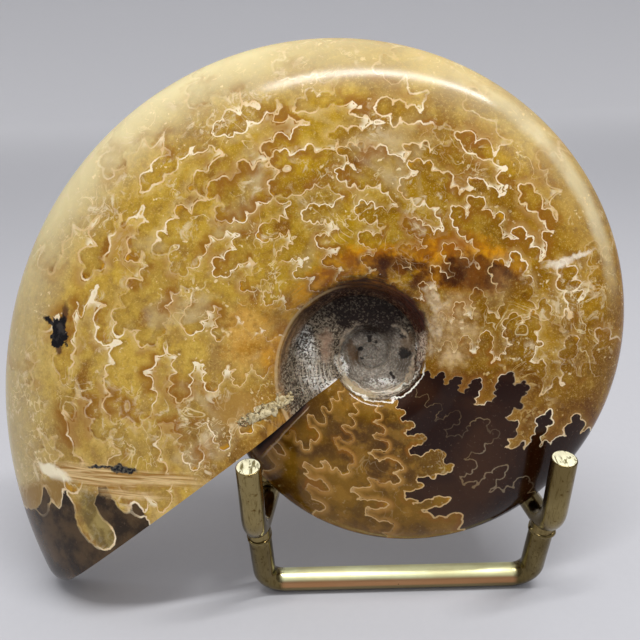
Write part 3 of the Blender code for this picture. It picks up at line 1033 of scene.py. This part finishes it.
deep = coats(
    blend(spread(speck, 0.34, 0.70), (0.050, 0.032, 0.018), (0.36, 0.29, 0.20)),
    (times(crescent, clipped(mottle, 3.0, -0.85)), silver),
    (times(spot((-5.6, 1.2), (1.3, 3.0), 0.7, 1.2), 0.85), brown),
    (bowl, floor_grey),
    (times(spot((-2.2, 0.1), (0.9, 2.2), 0.6, 1.2, 15), 0.85), (0.12, 0.065, 0.028)),
    (times(spot((5.2, 2.0), (1.7, 2.2), 0.6, 1.5), 0.7), (0.20, 0.125, 0.065)),
    (times(white_crystals_and_highlight, spread(speck, 0.36, 0.52)), (0.93, 0.90, 0.82)),
    (times(pale_streaks_and_highlight, spread(striae, 0.46, 0.56), 0.85), (0.74, 0.65, 0.52)),
)
# Small holes, their insides painted dark as shade.
for at, size in (
    ((4.7, 0.5), (0.75, 1.0)), ((-0.1, 2.1), (0.45, 0.38)), ((0.9, 1.75), (0.25, 0.22)),
    ((-1.4, 0.5), (0.5, 0.4)), ((-1.0, -0.6), (0.35, 0.25)), ((4.4, 2.9), (0.8, 0.9)),
    ((3.0, -2.6), (0.4, 0.6)),
):
    deep = coats(deep, (times(spot(at, size, 0.45, 1.2), 0.93), (0.014, 0.010, 0.008)))
rim_line, _ = ring((0.9, -0.2), 4.9, 0.05, 0.28, 0.7)
deep = coats(
    deep,
    (times(rim_line, scaled(spread(mottle, 0.42, 0.56), 0.8, 0.05)), (0.66, 0.52, 0.36)),
    (times(shadow, scaled(spread(speck, 0.56, 0.68), -0.24, 0.98)), (0.014, 0.005, 0.002)),
)
print("navel:", len(tree.nodes), "nodes")

# %% Wall of the navel
broken = scaled(ragged, 0.04, scaled(tatter, 0.05, down))
narrow = calc("ADD", broken, spread(around, 1.50, 1.95, 0.065))
wall = times(spread(narrow, 0.985, 0.925), spread(around, -0.30, 0.05))
# Painted shade: the wall is painted darker towards its deep edge and over the top and right, where the
# overhang shades it, over its own rust and dark striae.
soot_and_shade = blend(spread(around, 1.35, 1.75), (0.026, 0.007, 0.002), (0.150, 0.078, 0.030))
rust_and_shade = coats(
    blend(spread(broken, 0.905, 0.78), (0.022, 0.006, 0.002), (0.36, 0.125, 0.005)),
    (spread(around, 0.95, 0.50), (0.085, 0.017, 0.007)),
    (spread(around, 1.35, 1.75), (0.44, 0.26, 0.11)),
)
walled = coats(
    blend(spread(striae, 0.34, 0.66), soot_and_shade, rust_and_shade),
    (times(spread(speck, 0.54, 0.64), spread(broken, 0.87, 0.93), 0.6), (0.34, 0.22, 0.13)),
    (spread(grain, 0.50, 0.36, 0.5), (0.35, 0.28, 0.24), "MULTIPLY"),
)
porous = patches(((12, 88), (20, 10), 0.5, 1.0, 1.2), ((150, 84), (20, 3), 0.8, 1.0, 0.6))
deep = coats(
    deep,
    (wall, walled),
    (times(porous, 0.92), blend(spread(speck, 0.36, 0.54), (0.26, 0.16, 0.10), (0.84, 0.68, 0.50))),
    (times(patch((-112, 92), (42, 7), 0.6, 0.8, 1.0), 0.8), (0.52, 0.40, 0.23)),
)
brow = even_line(centred(calc("ADD", down, -0.36), 100), 0.35, 0.9, ragged)
brow = times(brow, spread(around, 1.0, 1.3), 0.6)
# Painted highlight: thin bright arcs on the polished shell edges at the lower right of the navel.
outer_highlight_arc, _ = ring((1.5, -0.1), 5.75, 0.02, 0.15, 0.15)
inner_highlight_arc, _ = ring((1.3, 0.2), 5.2, 0.0, 0.13, 0.3)
painted_highlight_arcs = times(
    most(outer_highlight_arc, times(inner_highlight_arc, 0.7)), times(spread(around, -0.02, -0.16), spread(around, -1.35, -1.1)),
    scaled(spread(mottle, 0.35, 0.50), 0.6, 0.4),
)
colour = coats(colour, (navel, deep), (brow, (0.62, 0.44, 0.23)), (painted_highlight_arcs, (1.0, 0.95, 0.82)))

# %% Gloss and relief of the flank
marks = use(polish_group, {"Place": place, "Smooth": 0.06, "Dull": 0.17})
rough = most(
    marks["Roughness"], times(spread(down, 0.30, 0.16), scaled(cloud, 0.30, 0.02)), times(navel, 0.42),
    times(most(fold, pale), 0.30), times(most(matrix, gap), 0.75),
)
relief = times(calc("ADD", facet, grain), most(navel, times(matrix, 0.8)))
relief = scaled(times(matrix, spread(crack, 0.0, 0.10)), 0.8, relief)
sunken = most(blot, most(slit, gap))
low = bump(scaled(sunken, -1.0, marks["Height"]), 0.12)
surface(Base_Color=colour, Roughness=rough, Normal=bump(relief, 0.8, 0.6 * MM, {"Normal": low}))
body.data.materials.append(flank)
print("flank material:", len(tree.nodes), "nodes")

# %% [markdown]
# Real crumbs of the pale matrix still stick in a strip along the broken corner. Each is a small
# ball of facets, squashed, turned and dented by chance, and sunk in the shell. They are one piece.

# %% Crumbs of matrix
CRUMBS, SEAM_DEPTH, STRIP = 34, 92, 22
deselect()
chance = random.Random(12)
crumbs = []
for number in range(CRUMBS):
    depth = SEAM_DEPTH - STRIP * chance.random() ** 1.4
    bearing = 207 + chance.uniform(-1, 1) * (0.5 + 0.11 * (depth - 70))
    at = flank_point(np.array([math.radians(bearing)]), np.array([math.exp(-math.radians(depth))]), 0)[0]
    size = chance.uniform(0.26, 0.50) * min(1, (96 - depth) / 10) * MM
    turn = [chance.uniform(0, math.tau) for _ in range(3)]
    bpy.ops.mesh.primitive_ico_sphere_add(
        subdivisions=3, radius=size, location=fossil_frame @ Vector(at), rotation=turn, scale=(1.8, 1.2, 0.5)
    )
    crumb = made(f"crumb_{number}")
    bpy.ops.object.transform_apply(location=False, rotation=True, scale=True)
    for vertex in crumb.data.vertices:
        dent = mathutils.noise.fractal(vertex.co * 3000 + Vector((number, 0, 0)), 0.5, 2.0, 4)
        vertex.co *= 1 + 0.28 * dent
    crumbs.append(crumb)
crumbs = joined(crumbs, "matrix_crumbs")
outside(crumbs)
crumbs.data.shade_smooth()
crumbs.data.set_sharp_from_angle(angle=math.radians(40))
chalk_rock, tree, shader = new_material("pale_matrix", Specular_IOR_Level=0.25)
place = object_place()
grit, dust = noise(place, 1400, 4, 0.65), noise(place, 4200, 3, 0.6)
tint = blend(spread(grit, 0.34, 0.58), (0.40, 0.30, 0.14), (0.66, 0.56, 0.34))
tint = blend(spread(dust, 0.58, 0.74), tint, (0.22, 0.145, 0.055))
surface(Base_Color=tint, Roughness=scaled(dust, 0.4, 0.5), Normal=bump(calc("ADD", grit, dust), 0.5))
crumbs.data.materials.append(chalk_rock)
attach(crumbs, "root")
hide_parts("ammonite")
print("crumbs:", len(crumbs.data.vertices), "points")

# %% [markdown]
# The two saw cuts show the inside. The back is a polished section through the coil: walls along
# the spiral, curved partitions between chambers, and clear or brown calcite in each. Since nobody
# sees it behind the backrest, it is drawn from how such halves usually look. The aperture cut
# shows crystals grown inwards from a thin shell.

# %% Back of the fossil
CHAMBER_ANGLE = 0.345
section_face, tree, shader = new_material("sawn_back", IOR=1.55, Coat_Weight=0.4, Coat_Roughness=0.05)
place, own = fossil_place()
right, up, _ = parts(own)
bearing = calc("ARCTAN2", up, right)
radius = calc("SQRT", calc("ADD", times(right, right), times(up, up)))
growth_turn = calc("DIVIDE", calc("LOGARITHM", calc("DIVIDE", radius, SPIRAL_RADIUS), math.e), GROWTH)
whorl = calc("DIVIDE", calc("SUBTRACT", growth_turn, bearing), math.tau)
across = calc("FRACT", whorl)
turned = calc("ADD", bearing, times(calc("CEIL", whorl), math.tau))
bow = times(calc("SINE", times(across, math.pi)), 0.14)
chambers = calc("DIVIDE", calc("ADD", turned, bow), CHAMBER_ANGLE)
cloud = noise(place, 160, 4, 0.6)
tint = node("ShaderNodeTexWhiteNoise", {"W": calc("FLOOR", chambers)}, noise_dimensions="1D").outputs["Value"]
wobble = centred(cloud, 0.10)
wall = most(
    even_line(calc("SUBTRACT", calc("FRACT", chambers), 0.5), 0.035, 0.03, wobble),
    even_line(calc("SUBTRACT", across, 0.03), 0.03, 0.02, wobble),
)
lining = spread(calc("ABSOLUTE", calc("SUBTRACT", across, 0.52)), 0.28, 0.46, 0.6)
colour = coats(
    blend(tint, (0.11, 0.055, 0.018), (0.50, 0.33, 0.11)),
    (spread(cloud, 0.42, 0.62), (0.34, 0.19, 0.05)),
    (lining, (0.56, 0.44, 0.24)),
    (wall, (0.70, 0.56, 0.34)),
)
marks = use(polish_group, {"Place": place, "Smooth": 0.12, "Dull": 0.30})
surface(Base_Color=colour, Roughness=marks["Roughness"], Normal=bump(marks["Height"], 0.15))
body.data.materials.append(section_face)
print("back material:", len(tree.nodes), "nodes")

# %% Aperture cut
aperture_face, tree, shader = new_material("sawn_aperture", IOR=1.55, Coat_Weight=0.3, Coat_Roughness=0.08)
place = object_place()
grains = {"Vector": place, "Scale": 700, "Randomness": 1.0}
seams = node("ShaderNodeTexVoronoi", grains, feature="DISTANCE_TO_EDGE").outputs["Distance"]
colour = blend(spread(noise(place, 220, 5, 0.6), 0.4, 0.62), (0.12, 0.055, 0.015), (0.42, 0.26, 0.07))
colour = blend(spread(seams, 0.10, 0.0), colour, (0.55, 0.42, 0.20))
marks = use(polish_group, {"Place": place, "Smooth": 0.14, "Dull": 0.34})
surface(Base_Color=colour, Roughness=marks["Roughness"], Normal=bump(seams, 0.2))
body.data.materials.append(aperture_face)

cut_across = fossil_turn.to_3x3() @ Vector((-math.sin(CUT), math.cos(CUT), 0))
CUT_CORNERS = 60  # only the two saw cuts are faces with more corners than this
counts = [0, 0, 0]
for face in body.data.polygons:
    if len(face.vertices) > CUT_CORNERS:
        face.material_index = 2 if abs(face.normal.dot(cut_across)) > 0.9 else 1
        face.use_smooth = False
    counts[face.material_index] += 1
print("faces on the flank, back and aperture cut:", counts)

# %% [markdown]
# ## The stand
#
# The stand is round brass rod, 3.1 mm thick. One rod makes both prongs, both arms and the foot
# behind; a second is the front foot and a third the backrest hoop. Each is bent cold, so a rod is
# a circle pushed along straight runs and spun round the centre of each bend, which keeps it round.
# The visible prong ends are plain saw cuts with their sharp edge broken.
#
# Its measures are taken from the middle of the stand across, from the prongs backwards and from
# the ground up, along the rods' axes.

# %% Bent rods
ROD = 1.569 * MM
ARM_HALF, ARM_UP, TOE = 19.1 * MM, 12.8 * MM, math.radians(6.4)
PRONG, PRONG_LEAN = 11.8 * MM, math.radians(8.7)
REAR_Y, GROUND_UP = 40 * MM, 1.6 * MM
FOOT_TOP_Y, FOOT_Y, FOOT_HALF = 2.1 * MM, 4.9 * MM, 18.7 * MM
HOOP_Y, HOOP_UP = 10.35 * MM, 46 * MM
ELBOW, FOOT_BEND, HOOP_BEND = 4.3 * MM, 2.7 * MM, 4.8 * MM


def arm_x(side, y):
    return side * (ARM_HALF - math.tan(TOE) * y)


def bend_rod(name, corners, radii, sides=40, steps=14):
    corners = [Vector(corner) + STAND_AT for corner in corners]
    ahead = [(b - a).normalized() for a, b in zip(corners, corners[1:])]
    deselect()
    turn = ahead[0].to_track_quat("Z", "Y").to_euler()
    at = corners[0]
    bpy.ops.mesh.primitive_circle_add(
        vertices=sides, radius=ROD, fill_type="NGON", location=at, rotation=turn
    )
    rod = made(name)
    bpy.ops.object.transform_apply(location=True, rotation=True, scale=True)
    edit(rod, "FACE", "SELECT")
    for index, (corner, radius) in enumerate(zip(corners[1:-1], radii)):
        before, after = ahead[index], ahead[index + 1]
        bent = before.angle(after)
        first = corner - before * radius * math.tan(bent / 2)
        bpy.ops.mesh.extrude_region_move(TRANSFORM_OT_translate={"value": first - at})
        axis = before.cross(after).normalized()
        middle = first + axis.cross(before) * radius
        bpy.ops.mesh.spin(steps=steps, angle=-bent, center=middle, axis=axis)
        at = corner + after * radius * math.tan(bent / 2)
    bpy.ops.mesh.extrude_region_move(TRANSFORM_OT_translate={"value": corners[-1] - at})
    bpy.ops.object.mode_set(mode="OBJECT")
    outside(rod)
    return rod


def mirrored(half):
    """The corners of one side, from the end inwards, and the same of the other side."""
    return half(-1) + half(1)[::-1]


def rail_half(side):
    top = (side * ARM_HALF, -PRONG * math.sin(PRONG_LEAN), ARM_UP + PRONG * math.cos(PRONG_LEAN))
    rear = arm_x(side, REAR_Y)
    return [top, (side * ARM_HALF, 0, ARM_UP), (rear, REAR_Y, ARM_UP), (rear, REAR_Y, GROUND_UP)]


def foot_half(side):
    return [(arm_x(side, FOOT_TOP_Y), FOOT_TOP_Y, ARM_UP), (side * FOOT_HALF, FOOT_Y, GROUND_UP)]


def hoop_half(side):
    back_y = HOOP_Y + (HOOP_UP - ARM_UP) * math.tan(LEAN)
    return [(arm_x(side, HOOP_Y), HOOP_Y, ARM_UP), (arm_x(side, HOOP_Y), back_y, HOOP_UP)]


rail = bend_rod("brass_rail", mirrored(rail_half), [ELBOW, ELBOW, FOOT_BEND, FOOT_BEND, ELBOW, ELBOW])
foot = bend_rod("brass_front_foot", mirrored(foot_half), [FOOT_BEND] * 2)
hoop = bend_rod("brass_backrest", mirrored(hoop_half), [HOOP_BEND] * 2)
print("rods:", [(rod.name, len(rod.data.vertices)) for rod in (rail, foot, hoop)])

# %% [markdown]
# Where an upright meets an arm, brass solder was melted into the joint and left a thin uneven
# collar. Each is a ring round the upright, pushed about a little so that it looks run, not turned.

# %% Braze collars
COLLAR, BEAD = 1.48 * MM, 0.30 * MM
collars = []
for side in (-1, 1):
    foot_top, foot_low = map(Vector, foot_half(side))
    hoop_low, hoop_top = map(Vector, hoop_half(side))
    foot_up, hoop_up = (foot_top - foot_low).normalized(), (hoop_top - hoop_low).normalized()
    ends = ((foot_top - foot_up * 1.62 * MM, foot_up), (hoop_low + hoop_up * 1.50 * MM, hoop_up))
    for at, axis in ends:
        deselect()
        bpy.ops.mesh.primitive_torus_add(
            major_segments=64, minor_segments=16, major_radius=COLLAR, minor_radius=BEAD,
            location=at + STAND_AT, rotation=axis.to_track_quat("Z", "Y").to_euler(),
        )
        collar = made(f"collar_{len(collars)}")
        bpy.ops.object.transform_apply(location=True, rotation=True, scale=True)
        for vertex in collar.data.vertices:
            run = mathutils.noise.noise(vertex.co * 700) * 0.28 * MM
            vertex.co += (vertex.co - at - STAND_AT).normalized() * run + axis * run
        collars.append(collar)
collars = joined(collars, "braze_collars")
outside(collars)
print("braze collars:", len(collars.data.vertices), "points")

# %% [markdown]
# Brass of a greenish gold. The low foot is bright on top; the lower half of its rod is painted coppery as a
# painted reflection, and its bottom edge darker as painted shade where it meets the ground. The uprights,
# prongs and arms are painted dark olive, partly tarnish from handling and partly a painted reflection of dark
# surroundings, and lower down darker still as painted shade. Drawing leaves faint lines along the rod, and a
# few pits hold dark tarnish. The sawn prong ends are bright and scratched.

# %% Brass
brass, tree, shader = new_material("polished_brass", Metallic=1.0)
place = object_place()
tarnish = noise(place, 120, 4, 0.6)
spotted = noise(place, 1500, 2, 0.5)
pits = spread(spotted, 0.74, 0.80)
drawn = noise(stretched(place, (5200, 500, 5200)), 1.0, 3, 0.6)
brushed = noise(stretched(place, (4200, 4200, 420)), 1.0, 4, 0.65)
sideways, _, up = parts(place)
outward = calc("ABSOLUTE", calc("SUBTRACT", sideways, STAND_AT.x))
# Above the low foot and at its outer ends the brass is painted dark olive: some tarnish from handling, and a
# painted reflection of dark surroundings.
handled_and_dark_reflection = most(spread(up, 3.0 * MM, 5.2 * MM), spread(outward, 15.8 * MM, 16.8 * MM))
tarnish_and_dark_reflection = coats(
    blend(spread(tarnish, 0.34, 0.66), (0.29, 0.225, 0.098), (0.180, 0.132, 0.052)),
    # Painted shade: lower down, the uprights are painted darker still.
    (spread(up, 11.8 * MM, 9.5 * MM, 0.6), (0.36, 0.34, 0.31), "MULTIPLY"),
)
gold = coats(
    blend(spread(tarnish, 0.38, 0.62), (0.92, 0.93, 0.56), (0.80, 0.76, 0.42)),
    # Painted reflection: the lower half of the low foot's rod is painted coppery.
    (spread(up, 2.55 * MM, 2.15 * MM, 0.9), (0.46, 0.20, 0.085)),
    # Painted shade: the bottom edge of the rod, by the ground, is painted darker.
    (spread(up, 1.6 * MM, 1.2 * MM), (0.24, 0.185, 0.085)),
    (handled_and_dark_reflection, tarnish_and_dark_reflection),
    (times(handled_and_dark_reflection, spread(brushed, 0.50, 0.68)), (0.62, 0.58, 0.48), "MULTIPLY"),
    (times(handled_and_dark_reflection, spread(spotted, 0.60, 0.72)), (0.52, 0.42, 0.28), "MULTIPLY"),
    (pits, (0.14, 0.09, 0.03)),
)
marks = use(polish_group, {"Place": place, "Smooth": 0.10, "Dull": 0.30})
rough = calc("ADD", scaled(pits, 0.4, marks["Roughness"]), scaled(handled_and_dark_reflection, -0.21, 0.21))
height = calc("SUBTRACT", scaled(drawn, 0.35, marks["Height"]), pits)
surface(Base_Color=gold, Roughness=rough, Normal=bump(height, 0.22, 0.1 * MM))
print("brass:", len(tree.nodes), "nodes")

# %% Sawn ends
sawn, tree, shader = new_material("sawn_brass", Metallic=0.45)
scored = noise(stretched(object_place(), (2600, 700, 900), (0, 0, 0.6)), 1.0, 4, 0.7, 0.9)
tint = blend(spread(scored, 0.40, 0.50), (0.20, 0.17, 0.06), (1.0, 0.98, 0.70))
surface(Base_Color=tint, Roughness=scaled(scored, 0.35, 0.30), Normal=bump(scored, 0.8, 0.2 * MM))

END_CORNERS = 8  # only the sawn ends are faces with more corners than this
for rod in (rail, foot, hoop):
    pick(rod, [len(face.vertices) > END_CORNERS for face in rod.data.polygons], "FACE")
    bpy.ops.mesh.region_to_loop()
    bpy.ops.mesh.bevel(offset=0.14 * MM, segments=3, affect="EDGES")
    bpy.ops.object.mode_set(mode="OBJECT")
    rod.data.materials.append(brass)
    rod.data.materials.append(sawn)
    for face in rod.data.polygons:
        face.material_index = int(len(face.vertices) > END_CORNERS)
    rod.data.shade_smooth()
    rod.data.set_sharp_from_angle(angle=math.radians(50))

collars.data.materials.append(brass)
collars.data.shade_smooth()
for rod, solid in ((rail, "cradle_rail"), (foot, "front_foot"), (hoop, "backrest"), (collars, "front_foot")):
    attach(rod, "root")
    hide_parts(solid)
    low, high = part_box(solid)
    sizes = [[round(side / MM, 2) for side in box] for box in (rod.dimensions, high - low)]
    print(rod.name, "size in mm, and its solid's:", sizes)

# %% [markdown]
# The visual model should fill the same box as the solid parts, so both boxes are printed.

low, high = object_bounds()
boxes = {"solid": (cad_low, cad_high), "visual": (low, high)}
boxes = {name: [[float(v) for v in corner] for corner in box] for name, box in boxes.items()}
for name, box in boxes.items():
    print(name, "box in mm:", [[round(v / MM, 2) for v in corner] for corner in box])
